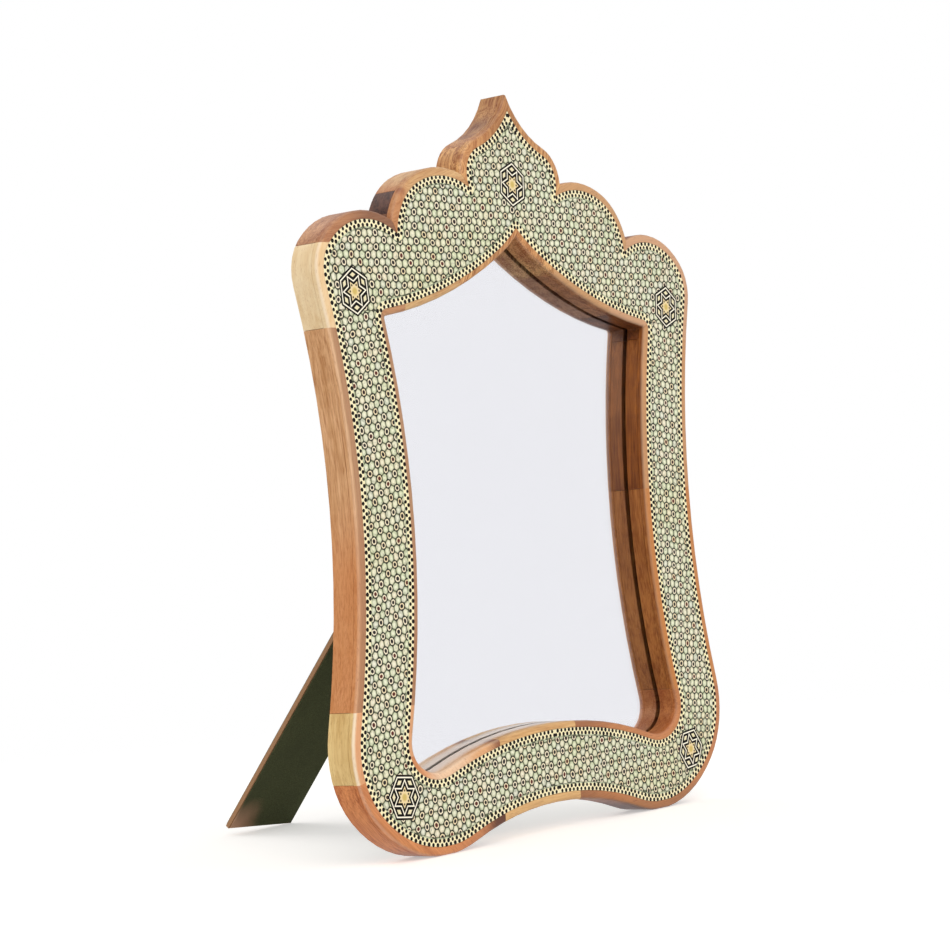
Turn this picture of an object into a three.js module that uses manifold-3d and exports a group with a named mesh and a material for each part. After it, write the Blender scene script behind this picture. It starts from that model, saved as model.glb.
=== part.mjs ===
// Inlaid table mirror: a shaped wooden frame glued up from blocks of different woods, its front
// face laid with a field of marquetry between two border strips, five star medallions, a mirror
// sunk deep in the opening, a felt-covered back and a folding leg on a small hinge.
// Millimetres. x runs to the right seen from the front, y to the back, z up.
import * as THREE from 'three';
import Module from 'manifold-3d';
import { mergeVertices } from 'three/addons/utils/BufferGeometryUtils.js';

const wasm = await Module();
wasm.setup();

// Depth of the layers, counted back from the front face
const frontLayer = 3;
const carcaseDepth = 13;
const glassThickness = 3;
const boardThickness = 3;
const feltThickness = 0.6;

// Clearances: a glue joint, and the play round a seated piece
const glueGap = 0.15;
const seatGap = 0.3;

// Widths across the front, counted from the edges of the inlay
const outerLipWidth = 3.6;
const innerLipWidth = 2.8;
const lipRounding = 1.2;
const lipLift = 0.2;
const borderWidth = 3.3;
const mitreOverrun = 1.5;
const glassOverlap = 4;
const boardInset = 8;

// Outer edge of the inlay, right half, from the crest down to the middle of the bottom rail.
// Each run starts at a point with a heading in degrees and goes through arcs: a radius for
// each, and its sweep in degrees, plus for a hollow and minus for a bulge.
const crestRun = { start: [0, 292.6], heading: -55, radii: [45, 12.2], sweeps: [35.6, -88] };
const lobeRun = { start: [31.7, 260.5], heading: 21, radii: [38, 25.9], sweeps: [-47.3, -66] };
const sideRun = {
  start: [78.1, 239.4],
  heading: 28.5,
  radii: [32.2, 15.2, 333.4, 33.3, 52.8, 52.8, 52.8],
  sweeps: [-75.6, -57.8, 29.1, -58, -41.2, -10, -13.1],
  flatArc: 5,
};

// Inner edge of the inlay, right half, from the point of the arch down to the bottom rail
const openingRun = {
  start: [0, 244.9],
  heading: -41.7,
  radii: [81.2, 210.8, 3.8, 321, 13.4, 21.6],
  sweeps: [11.8, 21.3, -94.8, 28.4, -72.4, -50.5],
};

// Star medallions: centre and the direction of one corner in degrees
const medallionRadius = 9.6;
const medallions = {
  medallion_crest: { centre: [-0.3, 262.5], angle: 85.6 },
  medallion_upper_left: { centre: [-104.4, 215.5], angle: 95.2 },
  medallion_upper_right: { centre: [105.4, 215.5], angle: 83.5 },
  medallion_lower_left: { centre: [-97.5, 25.1], angle: 53.5 },
  medallion_lower_right: { centre: [97.8, 23.1], angle: 66 },
};

// Joints across the frame: from a point outside the wood to one within the opening, or a level
const shoulderLevel = 201.5;
const jointRise = 3.5;
const crestJoint = [[33.7, 268], [17.4, 205]];
const lobeJoint = [[78.5, 249], [62, shoulderLevel + jointRise]];
const walnutJoint = [[-74, 262], [-57, shoulderLevel + jointRise]];
const shoulderJoint = [[-78.5, 249], [-70, shoulderLevel + jointRise]];
const footJoint = [[-150, 25.9], [-80, 42.2]];
const railLeft = -36.7;
const railRight = 14.5;
const cornerTop = 233.3;
const cornerSide = -99;
const patchTop = 58.9;
const stileRightJoint = 136.7;
const footRightTop = 49.9;
const sheetLevel = 208.3;
const sheetJoint = 29.7;

// Leg and hinge
const openAngle = 40.6;
const hingeHeight = 169.2;
const hingeWidth = 24;
const leafThickness = 0.8;
const leafHeight = 14;
const knuckleRadius = 1.8;
const boreRadius = 1.1;
const pinRadius = 0.8;
const middleKnuckle = 8;
const legWidthTop = 40.5;
const legWidthFoot = 43;
const legThickness = 1.8;
const legFeltThickness = 0.4;
const legFeltInset = 0.6;
const footSkew = 4;
const legHeadRise = 4.8;
const screwSpacing = 14;
const screwDrop = 9;
const screwHoleRadius = 1.1;
const screwShankRadius = 0.8;
const screwHeadRadius = 1.9;
const screwHeadHeight = 0.6;
const frameScrewLength = 3.6;
const legScrewLength = 2.6;

// Places that follow from the sizes above
const glassFront = carcaseDepth - seatGap - glassThickness - seatGap;
const boardFront = carcaseDepth + glueGap;
const feltFront = boardFront + boardThickness + glueGap;
const feltBack = feltFront + feltThickness;
const pinOffset = knuckleRadius + glueGap;
const hingeDepth = feltBack + pinOffset;

const facetSagitta = 0.08;
const valleyFacets = 6;
const radians = THREE.MathUtils.degToRad;

// Arcs of one run: centre, radius, side (1 hollow, -1 bulge), start angle, sweep, facets
function arcsOf(run) {
  let [x, z] = run.start;
  let heading = radians(run.heading);
  return run.radii.map((radius, i) => {
    const sweep = run.sweeps[i];
    const side = Math.sign(sweep);
    const centre = [x - Math.sin(heading) * side * radius, z + Math.cos(heading) * side * radius];
    const from = Math.atan2(z - centre[1], x - centre[0]);
    const turn = radians(sweep);
    x = centre[0] + radius * Math.cos(from + turn);
    z = centre[1] + radius * Math.sin(from + turn);
    heading += turn;
    const step = 2 * Math.acos(1 - facetSagitta / radius);
    const facets = i === run.flatArc ? 1 : Math.max(2, Math.ceil(Math.abs(turn) / step));
    return { centre, radius, side, from, turn, facets };
  });
}

// Adds the last hollow, which ends level on the centre line
function closedRun(run) {
  const arcs = arcsOf(run);
  const last = arcs[arcs.length - 1];
  const angle = last.from + last.turn;
  const x = last.centre[0] + last.radius * Math.cos(angle);
  const sweep = -180 - run.heading - run.sweeps.reduce((sum, turn) => sum + turn, 0);
  const radius = x / Math.sin(radians(sweep));
  return { ...run, radii: [...run.radii, radius], sweeps: [...run.sweeps, sweep] };
}

const outerRuns = [crestRun, lobeRun, closedRun(sideRun)].map(arcsOf);
const innerRuns = [closedRun(openingRun)].map(arcsOf);

// The same arc moved outwards by a distance keeps its centre
function shifted(arc, offset) {
  return { ...arc, radius: arc.radius - arc.side * offset };
}

// Where two arcs cross, nearest to a point
function crossing(a, b, near) {
  const dx = b.centre[0] - a.centre[0];
  const dz = b.centre[1] - a.centre[1];
  const distance = Math.hypot(dx, dz);
  const along = (distance ** 2 + a.radius ** 2 - b.radius ** 2) / (2 * distance);
  const across = Math.sqrt(a.radius ** 2 - along ** 2);
  const points = [1, -1].map((s) => [
    a.centre[0] + (dx * along - s * dz * across) / distance,
    a.centre[1] + (dz * along + s * dx * across) / distance,
  ]);
  const gap = (p) => Math.hypot(p[0] - near[0], p[1] - near[1]);
  return gap(points[0]) < gap(points[1]) ? points[0] : points[1];
}

function angleNear(arc, point, guess) {
  const angle = Math.atan2(point[1] - arc.centre[1], point[0] - arc.centre[0]);
  return angle + 2 * Math.PI * Math.round((guess - angle) / (2 * Math.PI));
}

// The two valleys of the outer outline, where a run meets the next one
function valley(index, offset) {
  const before = shifted(outerRuns[index].at(-1), offset);
  const after = shifted(outerRuns[index + 1][0], offset);
  return crossing(before, after, [lobeRun.start, sideRun.start][index]);
}

// Points along an arc between two angles
function sweepOf({ centre, radius, facets }, from, to) {
  return Array.from({ length: facets + 1 }, (_, k) => {
    const angle = from + ((to - from) * k) / facets;
    return [centre[0] + radius * Math.cos(angle), centre[1] + radius * Math.sin(angle)];
  });
}

// Half of an outline from the centre line at the top to the centre line at the bottom, moved
// outwards by the offset; moved inwards, it goes round the foot of each valley
function halfOutline(runs, offset) {
  const half = [];
  runs.forEach((run, r) => {
    run.forEach((arc, i) => {
      const moved = shifted(arc, offset);
      let from = arc.from;
      let to = arc.from + arc.turn;
      if (i === 0 && r === 0) {
        const height = moved.centre[1] - Math.sqrt(moved.radius ** 2 - moved.centre[0] ** 2);
        from = angleNear(moved, [0, height], from);
      }
      if (i === 0 && r > 0) from = angleNear(moved, valley(r - 1, Math.max(offset, 0)), from);
      if (i === run.length - 1 && r < runs.length - 1) {
        to = angleNear(moved, valley(r, Math.max(offset, 0)), to);
      }
      half.push(...sweepOf(moved, from, to));
    });
    if (offset < 0 && r < runs.length - 1) half.push(...roundFoot(r, offset, half.at(-1)));
  });
  const apart = (a, b) => Math.hypot(a[0] - b[0], a[1] - b[1]) > 0.001;
  return half.filter((point, i) => i === 0 || apart(point, half[i - 1]));
}

// The arc that keeps its distance from the foot of a valley
function roundFoot(index, offset, start) {
  const foot = valley(index, 0);
  const next = outerRuns[index + 1][0];
  const from = Math.atan2(start[1] - foot[1], start[0] - foot[0]);
  const away = Math.atan2(next.centre[1] - foot[1], next.centre[0] - foot[0]);
  const to = angleNear({ centre: foot }, [foot[0] + Math.cos(away), foot[1] + Math.sin(away)], from);
  return sweepOf({ centre: foot, radius: -offset, facets: valleyFacets }, from, to);
}

// Closed outline, clockwise seen from the front
function outline(runs, offset) {
  const half = halfOutline(runs, offset);
  half[0][0] = 0;
  half[half.length - 1][0] = 0;
  const mirrored = half.slice(1, -1).reverse().map(([x, z]) => [-x, z]);
  return [...half, ...mirrored];
}

const outerOutline = (offset) => outline(outerRuns, offset);
const innerOutline = (offset) => outline(innerRuns, offset);

// Level of the floor, under the flats at the lowest points of the outline
const floorLevel = Math.min(...outerOutline(outerLipWidth).map((point) => point[1]));

// Lines clear of the wood on each side, and within the opening, that close the regions below
const margin = 25;
const clearSide = Math.max(...outerOutline(outerLipWidth).map((point) => point[0])) + margin;
const clearTop = Math.max(...outerOutline(outerLipWidth).map((point) => point[1])) + margin;
const clearBottom = floorLevel - margin;
const openingSide = 0.8 * Math.max(...innerOutline(-innerLipWidth).map((point) => point[0]));
const openingTop = Math.max(...innerOutline(-innerLipWidth).map((point) => point[1])) - margin;
const openingBottom = Math.min(...innerOutline(-innerLipWidth).map((point) => point[1])) + margin;

function solidOf(geometry) {
  geometry.deleteAttribute('normal');
  geometry.deleteAttribute('uv');
  const merged = mergeVertices(geometry, 1e-5);
  const mesh = new wasm.Mesh({
    numProp: 3,
    vertProperties: new Float32Array(merged.attributes.position.array),
    triVerts: new Uint32Array(merged.index.array),
  });
  return new wasm.Manifold(mesh);
}

function geometryOf(solid) {
  const mesh = solid.getMesh();
  const geometry = new THREE.BufferGeometry();
  geometry.setAttribute('position', new THREE.BufferAttribute(new Float32Array(mesh.vertProperties), 3));
  geometry.setIndex(new THREE.BufferAttribute(new Uint32Array(mesh.triVerts), 1));
  geometry.computeVertexNormals();
  return geometry;
}

// Flat piece standing in the plane of the front, from one depth to another, with an outline
// that runs clockwise, perhaps a hole, and perhaps its edges rounded over
function plate(points, from, to, hole, round = 0) {
  const shape = new THREE.Shape(points.map(([x, z]) => new THREE.Vector2(x, z)));
  if (hole) shape.holes.push(new THREE.Path(hole.map(([x, z]) => new THREE.Vector2(x, z)).reverse()));
  const geometry = new THREE.ExtrudeGeometry(shape, {
    depth: to - from - 2 * round,
    bevelEnabled: round > 0,
    bevelThickness: round,
    bevelSize: round,
    bevelOffset: -round,
    bevelSegments: 2,
  });
  geometry.rotateX(Math.PI / 2);
  geometry.translate(0, to - round, 0);
  return solidOf(geometry);
}

// Round bar along x, y or z
function bar(radius, length, axis, centre, facets = 24) {
  const geometry = new THREE.CylinderGeometry(radius, radius, length, facets);
  if (axis === 'x') geometry.rotateZ(Math.PI / 2);
  if (axis === 'z') geometry.rotateX(Math.PI / 2);
  geometry.translate(...centre);
  return solidOf(geometry);
}

function box(low, high) {
  const size = high.map((value, i) => value - low[i]);
  const geometry = new THREE.BoxGeometry(...size);
  geometry.translate(...low.map((value, i) => value + size[i] / 2));
  return solidOf(geometry);
}

// Thin cut along a joint line, through the whole depth
function kerf([x1, z1], [x2, z2]) {
  const length = Math.hypot(x2 - x1, z2 - z1);
  const nx = ((z2 - z1) / length) * (glueGap / 2);
  const nz = (-(x2 - x1) / length) * (glueGap / 2);
  const edges = [[x1 + nx, z1 + nz], [x2 + nx, z2 + nz], [x2 - nx, z2 - nz], [x1 - nx, z1 - nz]];
  return plate(edges, -1, carcaseDepth + 1);
}

function sawn(solid, joints) {
  return joints.reduce((rest, [a, b]) => rest.subtract(kerf(a, b)), solid);
}

const inside = (polygon) => plate(polygon, -1, carcaseDepth + 1);
const flip = (points) => points.map(([x, z]) => [-x, z]);

// Finishes: colour, roughness and how far it is metal
const finish = (color, roughness = 0.42, metalness = 0) => ({ color, roughness, metalness });
const tanWood = finish('#c08a55');
const orangeWood = finish('#b8703e');
const reddishWood = finish('#a4623c');
const paleWood = finish('#cfae74');
const walnutWood = finish('#5d4238');
const rosyWood = finish('#b98062');
const goldenWood = finish('#cb9a5c');
const fieldInlay = finish('#bfc3a4', 0.45);
const borderInlay = finish('#a89f78', 0.45);
const starInlay = finish('#cfc08c', 0.45);
const silveredGlass = finish('#e6e9ee', 0.04, 0.9);
const hardboard = finish('#8a6a4c', 0.8);
const greenFelt = finish('#343a28', 0.95);
const brass = finish('#b08d4a', 0.35, 0.9);

const mirror = new THREE.Group();

function addPiece(name, solid, look, parent = mirror) {
  const mesh = new THREE.Mesh(geometryOf(solid), new THREE.MeshStandardMaterial(look));
  mesh.name = name;
  parent.add(mesh);
}

// The mitre in a valley, from below the border strip to clear of the lips
function valleyJoint(index) {
  const foot = valley(index, 0);
  const brow = valley(index, outerLipWidth);
  const length = Math.hypot(brow[0] - foot[0], brow[1] - foot[1]);
  const at = (distance) => foot.map((value, i) => value + ((brow[i] - value) * distance) / length);
  return [at(-borderWidth - mitreOverrun), at(length + mitreOverrun)];
}

// Cuts across the rail, and across one side of the frame at a level
const railCut = (x) => [[x, clearBottom], [x, openingBottom]];
const sideCut = (side, level) => [[side * clearSide, level], [side * openingSide, level]];

// The glued blocks behind the front layer
function addBlocks() {
  const opening = innerOutline(-innerLipWidth);
  const rebate = innerOutline(-innerLipWidth + glassOverlap + seatGap);
  const ring = plate(outerOutline(outerLipWidth), frontLayer + glueGap, carcaseDepth, opening)
    .subtract(plate(rebate, glassFront - seatGap, carcaseDepth + 1));
  const cut = sawn(ring, [
    crestJoint,
    flip(crestJoint),
    lobeJoint,
    walnutJoint,
    shoulderJoint,
    footJoint,
    sideCut(-1, shoulderLevel),
    sideCut(1, shoulderLevel),
    [[-clearSide, cornerTop], [cornerSide, cornerTop]],
    [[cornerSide, cornerTop], [cornerSide, shoulderLevel]],
    sideCut(-1, patchTop),
    sideCut(1, stileRightJoint),
    sideCut(1, footRightTop),
    railCut(railLeft),
    railCut(railRight),
  ]);
  const crestOut = crestJoint[0][0];
  const lobeOut = lobeJoint[0][0];
  const walnutOut = walnutJoint[0][0];
  const shoulderOut = shoulderJoint[0][0];
  const footInner = [-openingSide, footJoint[1][1]];
  const regions = {
    crest_block: [tanWood, [
      [-crestOut, clearTop], [crestOut, clearTop], ...crestJoint, ...flip(crestJoint).reverse()]],
    lobe_block_left: [goldenWood, [
      ...flip(crestJoint), ...walnutJoint.toReversed(), [walnutOut, clearTop], [-crestOut, clearTop]]],
    walnut_block_left: [walnutWood, [
      ...walnutJoint, ...shoulderJoint.toReversed(), [shoulderOut, walnutJoint[0][1]]]],
    shoulder_block_left: [reddishWood, [
      ...shoulderJoint, [-openingSide, shoulderLevel], [cornerSide, shoulderLevel],
      [cornerSide, cornerTop], [-clearSide, cornerTop], [-clearSide, clearTop], [shoulderOut, clearTop]]],
    corner_block_left: [paleWood, [
      [-clearSide, cornerTop], [cornerSide, cornerTop], [cornerSide, shoulderLevel],
      [-clearSide, shoulderLevel]]],
    stile_block_left: [orangeWood, [...sideCut(-1, shoulderLevel), ...sideCut(-1, patchTop).reverse()]],
    patch_block_left: [paleWood, [...sideCut(-1, patchTop), footInner, ...footJoint.toReversed()]],
    foot_block_left: [orangeWood, [
      ...footJoint, footInner, [railLeft, openingBottom], [railLeft, clearBottom],
      [-clearSide, clearBottom]]],
    rail_block: [paleWood, [...railCut(railLeft).reverse(), ...railCut(railRight)]],
    foot_block_right: [reddishWood, [
      [railRight, openingBottom], ...sideCut(1, footRightTop).reverse(), [clearSide, clearBottom],
      [railRight, clearBottom]]],
    stile_block_right_lower: [orangeWood, [
      ...sideCut(1, stileRightJoint), ...sideCut(1, footRightTop).reverse()]],
    stile_block_right_upper: [orangeWood, [
      ...sideCut(1, shoulderLevel), ...sideCut(1, stileRightJoint).reverse()]],
    shoulder_block_right: [reddishWood, [
      ...lobeJoint, ...sideCut(1, shoulderLevel).reverse(), [clearSide, clearTop], [lobeOut, clearTop]]],
    lobe_block_right: [goldenWood, [
      ...crestJoint, ...lobeJoint.toReversed(), [lobeOut, clearTop], [crestOut, clearTop]]],
  };
  for (const [name, [look, region]] of Object.entries(regions)) {
    addPiece(name, cut.intersect(inside(region)), look);
  }
}

// Regions of the outer lips and border strips, on the right; the side one starts at a rail joint
function outerRegions() {
  const crest = valleyJoint(0);
  const lobe = valleyJoint(1);
  return {
    crest: [[0, clearTop], [crest[1][0], clearTop], crest[1], crest[0], [0, openingTop]],
    lobe: [crest[0], crest[1], [crest[1][0], clearTop], [lobe[1][0], clearTop], lobe[1], lobe[0]],
    side: (joint) => [
      lobe[0], lobe[1], [lobe[1][0], clearTop], [clearSide, clearTop], [clearSide, clearBottom],
      [joint, clearBottom], [joint, openingBottom], [openingSide, openingBottom]],
  };
}

// The mitre at the upper corner of the opening, along the bisector of its small fillet
function cornerMitre() {
  const fillet = innerRuns[0][2];
  const angle = fillet.from + fillet.turn / 2;
  const at = (distance) => [
    fillet.centre[0] + distance * Math.cos(angle),
    fillet.centre[1] + distance * Math.sin(angle),
  ];
  return [at(-innerLipWidth - mitreOverrun), at(fillet.radius + borderWidth + mitreOverrun)];
}

// Regions of the inner lips and border strips, on the right
function innerRegions() {
  const [low, high] = cornerMitre();
  return {
    arch: [[0, openingTop], [0, clearTop], [high[0], clearTop], high, low],
    side: (joint) => [
      low, high, [clearSide, high[1]], [clearSide, clearBottom], [joint, clearBottom],
      [joint, openingBottom]],
  };
}

// The lips, the wood left standing outside and inside the inlay
function addOuterLips() {
  const edge = plate(outerOutline(outerLipWidth), 0, 2 * frontLayer, null, lipRounding);
  const layer = box([-clearSide, -1, clearBottom], [clearSide, frontLayer, clearTop]);
  const floor = box([-clearSide, -1, clearBottom], [clearSide, 2 * frontLayer + 1, floorLevel + lipLift]);
  const within = plate(outerOutline(glueGap), -1, 2 * frontLayer + 1);
  const cut = sawn(edge.intersect(layer).subtract(within).subtract(floor), [
    valleyJoint(0), flip(valleyJoint(0)), valleyJoint(1), flip(valleyJoint(1)),
    railCut(railLeft), railCut(railRight),
  ]);
  const regions = outerRegions();
  const crest = [...flip(regions.crest).reverse(), ...regions.crest];
  addPiece('outer_lip_crest', cut.intersect(inside(crest)), tanWood);
  addPiece('outer_lip_lobe_left', cut.intersect(inside(flip(regions.lobe))), goldenWood);
  addPiece('outer_lip_lobe_right', cut.intersect(inside(regions.lobe)), tanWood);
  addPiece('outer_lip_side_left', cut.intersect(inside(flip(regions.side(-railLeft)))), rosyWood);
  addPiece('outer_lip_side_right', cut.intersect(inside(regions.side(railRight))), reddishWood);
  const bottom = [...railCut(railLeft).reverse(), ...railCut(railRight)];
  addPiece('outer_lip_bottom', cut.intersect(inside(bottom)), paleWood);
}

function addInnerLips() {
  const hole = innerOutline(-innerLipWidth);
  const edge = plate(innerOutline(borderWidth), 0, 2 * frontLayer, hole, lipRounding);
  const ring = edge.intersect(plate(innerOutline(-glueGap), -1, frontLayer));
  const mitre = cornerMitre();
  const cut = sawn(ring, [
    mitre, flip(mitre), [[0, openingTop], [0, clearTop]], railCut(railLeft), railCut(railRight),
  ]);
  const { arch, side } = innerRegions();
  addPiece('inner_lip_arch_left', cut.intersect(inside(flip(arch))), tanWood);
  addPiece('inner_lip_arch_right', cut.intersect(inside(arch)), goldenWood);
  addPiece('inner_lip_side_left', cut.intersect(inside(flip(side(-railLeft)))), rosyWood);
  addPiece('inner_lip_side_right', cut.intersect(inside(side(railRight))), rosyWood);
  const bottom = [...railCut(railLeft).reverse(), ...railCut(railRight)];
  addPiece('inner_lip_bottom', cut.intersect(inside(bottom)), paleWood);
}

// Border strips of the inlay, mitred where the lips are
function addBorders() {
  const outerRing = plate(outerOutline(0), 0, frontLayer, outerOutline(-borderWidth));
  const innerRing = plate(innerOutline(borderWidth), 0, frontLayer, innerOutline(0));
  const mitre = cornerMitre();
  const centreLine = [[0, clearBottom], [0, clearTop]];
  const outer = sawn(outerRing, [valleyJoint(0), valleyJoint(1), centreLine]);
  const inner = sawn(innerRing, [mitre, centreLine]);
  const outerSides = outerRegions();
  const innerSides = innerRegions();
  const pieces = {
    border_crest: outer.intersect(inside(outerSides.crest)),
    border_lobe: outer.intersect(inside(outerSides.lobe)),
    border_side: outer.intersect(inside(outerSides.side(0))),
    border_arch: inner.intersect(inside(innerSides.arch)),
    border_opening: inner.intersect(inside(innerSides.side(0))),
  };
  for (const [name, solid] of Object.entries(pieces)) {
    addPiece(`${name}_left`, solid.mirror([1, 0, 0]), borderInlay);
    addPiece(`${name}_right`, solid, borderInlay);
  }
}

function hexagon({ centre, angle }, radius) {
  return [0, 1, 2, 3, 4, 5].map((k) => {
    const corner = radians(angle + 60 * k);
    return [centre[0] + radius * Math.cos(corner), centre[1] + radius * Math.sin(corner)];
  });
}

// Seam between the stile and bottom sheets, through two opposite corners of a medallion
function cornerSeam({ centre, angle }, corner) {
  const turn = radians(angle + corner);
  const at = (distance) => [centre[0] + distance * Math.cos(turn), centre[1] + distance * Math.sin(turn)];
  return [at(-6 * medallionRadius), at(5 * medallionRadius)];
}

// Sheets of marquetry between the strips, with the star medallions let into them
function addFieldAndMedallions() {
  const outer = outerOutline(-borderWidth - glueGap);
  const inner = innerOutline(borderWidth + glueGap);
  const ring = plate(outer, 0, frontLayer, inner);
  const holes = Object.values(medallions)
    .map((place) => plate(hexagon(place, medallionRadius + glueGap), -1, frontLayer + 1));
  const field = holes.reduce((rest, hole) => rest.subtract(hole), ring);
  const leftSeam = cornerSeam(medallions.medallion_lower_left, 0);
  const rightSeam = cornerSeam(medallions.medallion_lower_right, 60);
  const sheetCut = [[sheetJoint, clearBottom], [sheetJoint, openingBottom]];
  const sheets = sawn(field, [
    [[0, openingTop], [0, clearTop]],
    sideCut(-1, sheetLevel),
    sideCut(1, sheetLevel),
    sheetCut,
    leftSeam,
    rightSeam,
  ]);
  const top = [
    [0, clearTop], [0, openingTop], ...sideCut(1, sheetLevel).reverse(), [clearSide, clearTop],
  ];
  const stile = (side, seam) => [
    ...sideCut(side, sheetLevel).reverse(), ...seam, [side * openingSide, seam[1][1]],
  ];
  const low = (joint, seam) => [...seam, [joint, seam[1][1]], [joint, clearBottom]];
  const regions = {
    field_top_left: flip(top),
    field_top_right: top,
    field_stile_left: stile(-1, leftSeam),
    field_stile_right: stile(1, rightSeam),
    field_bottom_left: [...low(sheetJoint, leftSeam), [-clearSide, clearBottom]],
    field_bottom_right: low(sheetJoint, rightSeam),
  };
  for (const [name, region] of Object.entries(regions)) {
    addPiece(name, sheets.intersect(inside(region)), fieldInlay);
  }
  for (const [name, place] of Object.entries(medallions)) {
    addPiece(name, plate(hexagon(place, medallionRadius), 0, frontLayer).intersect(ring), starInlay);
  }
}

function screwHole(x, z, from, to) {
  return bar(screwHoleRadius, to - from, 'y', [x, (from + to) / 2, z], 16);
}

const screwSides = [-screwSpacing / 2, screwSpacing / 2];
const screwHeight = hingeHeight - screwDrop;

// The glass in its rebate, the backing board and the felt on it
function addMirrorAndBack() {
  const sight = innerOutline(-innerLipWidth + glassOverlap);
  addPiece('mirror_glass', plate(sight, glassFront, glassFront + glassThickness), silveredGlass);
  const back = outerOutline(outerLipWidth - boardInset);
  let board = plate(back, boardFront, boardFront + boardThickness);
  let felt = plate(back, feltFront, feltBack);
  for (const x of screwSides) {
    board = board.subtract(screwHole(x, screwHeight, boardFront + 0.5, feltBack));
    felt = felt.subtract(screwHole(x, screwHeight, feltFront - 0.1, feltBack + 1));
  }
  addPiece('backing_board', board, hardboard);
  addPiece('back_felt', felt, greenFelt);
}

// One hinge leaf round the pin axis at the origin, lying on the side y = -1 (frame) or 1 (leg)
function hingeLeaf(side) {
  const near = side * knuckleRadius;
  const far = side * (knuckleRadius - leafThickness);
  const half = hingeWidth / 2;
  const split = middleKnuckle / 2;
  let leaf = box([-half, Math.min(near, far), -leafHeight], [half, Math.max(near, far), 0]);
  const knuckle = (from, to) => bar(knuckleRadius, to - from, 'x', [(from + to) / 2, 0, 0]);
  const relief = knuckleRadius + seatGap;
  const clear = (from, to) => box([from, -relief, -relief], [to, relief, relief]);
  if (side < 0) {
    leaf = leaf.subtract(clear(-split - seatGap, split + seatGap));
    leaf = leaf.add(knuckle(-half, -split - seatGap)).add(knuckle(split + seatGap, half));
  } else {
    leaf = leaf.subtract(clear(-half - 1, -split)).subtract(clear(split, half + 1));
    leaf = leaf.add(knuckle(-split, split));
  }
  leaf = leaf.subtract(bar(boreRadius, hingeWidth + 2, 'x', [0, 0, 0], 20));
  for (const x of screwSides) leaf = leaf.subtract(screwHole(x, -screwDrop, -3, 3));
  return leaf;
}

// Screw with a domed head; the shank runs away from the head along y
function screw(shankLength, direction) {
  const dome = [[0, 1], [0.47, 0.83], [0.79, 0.47], [1, 0]]
    .map(([across, up]) => [across * screwHeadRadius, up * screwHeadHeight]);
  const shank = [[screwShankRadius, 0], [screwShankRadius, 0.6 - shankLength], [0, -shankLength]];
  const points = [...dome, ...shank].reverse().map(([r, y]) => new THREE.Vector2(r, y));
  const geometry = new THREE.LatheGeometry(points, 14);
  if (direction < 0) geometry.rotateX(Math.PI);
  return solidOf(geometry);
}

function addHinge() {
  const axis = [0, hingeDepth, hingeHeight];
  addPiece('hinge_leaf_frame', hingeLeaf(-1).translate(axis), brass);
  addPiece('hinge_pin', bar(pinRadius, hingeWidth, 'x', axis, 16), brass);
  const seat = hingeDepth - knuckleRadius + leafThickness + 0.05;
  screwSides.forEach((x, i) => {
    const name = i === 0 ? 'frame_leaf_screw_left' : 'frame_leaf_screw_right';
    addPiece(name, screw(frameScrewLength, 1).translate([x, seat, screwHeight]), brass);
  });
}

const legBoardFront = pinOffset + legFeltThickness + glueGap;

// Tapered slab; its right foot corner just reaches the floor when the leg is open
function legSlab(from, to, inset = 0) {
  const tilt = radians(openAngle);
  const reach = (hingeHeight - floorLevel + legBoardFront * Math.sin(tilt)) / Math.cos(tilt);
  const top = legWidthTop / 2 - inset;
  const low = legWidthFoot / 2 - inset;
  const points = [
    [-top, legHeadRise - inset],
    [top, legHeadRise - inset],
    [low, inset - reach],
    [-low, inset + footSkew - reach],
  ];
  return plate(points, from, to);
}

// The leg, drawn hanging straight down from the pin and then swung open
function addLeg(parent) {
  const leg = new THREE.Group();
  leg.position.set(0, hingeDepth, hingeHeight);
  leg.rotation.x = radians(openAngle);
  const boardBack = legBoardFront + legThickness;
  const hole = (x, from, to) => screwHole(x, -screwDrop, from, to);
  let felt = legSlab(pinOffset, pinOffset + legFeltThickness, legFeltInset);
  let board = legSlab(legBoardFront, boardBack);
  for (const x of screwSides) {
    felt = felt.subtract(hole(x, 0, legBoardFront));
    board = board.subtract(hole(x, 0, legBoardFront + 1.4));
  }
  addPiece('leg_felt_front', felt, greenFelt, leg);
  addPiece('leg_board', board, hardboard, leg);
  const backFelt = legSlab(boardBack + glueGap, boardBack + glueGap + legFeltThickness, legFeltInset);
  addPiece('leg_felt_back', backFelt, greenFelt, leg);
  addPiece('hinge_leaf_leg', hingeLeaf(1), brass, leg);
  const seat = knuckleRadius - leafThickness - 0.05;
  screwSides.forEach((x, i) => {
    const name = i === 0 ? 'leg_leaf_screw_left' : 'leg_leaf_screw_right';
    addPiece(name, screw(legScrewLength, -1).translate([x, seat, -screwDrop]), brass, leg);
  });
  parent.add(leg);
}

addBlocks();
addOuterLips();
addInnerLips();
addBorders();
addFieldAndMedallions();
addMirrorAndBack();
addHinge();
addLeg(mirror);

// Stand the feet on z = 0 and centre the footprint on the origin
const object = new THREE.Group();
mirror.position.z = -floorLevel;
object.add(mirror);
object.updateMatrixWorld(true);
const extent = new THREE.Box3().setFromObject(object, true);
mirror.position.y = -(extent.min.y + extent.max.y) / 2;

export default object;
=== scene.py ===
import math

import bmesh
import bpy
from mathutils import Matrix, Vector, kdtree


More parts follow.
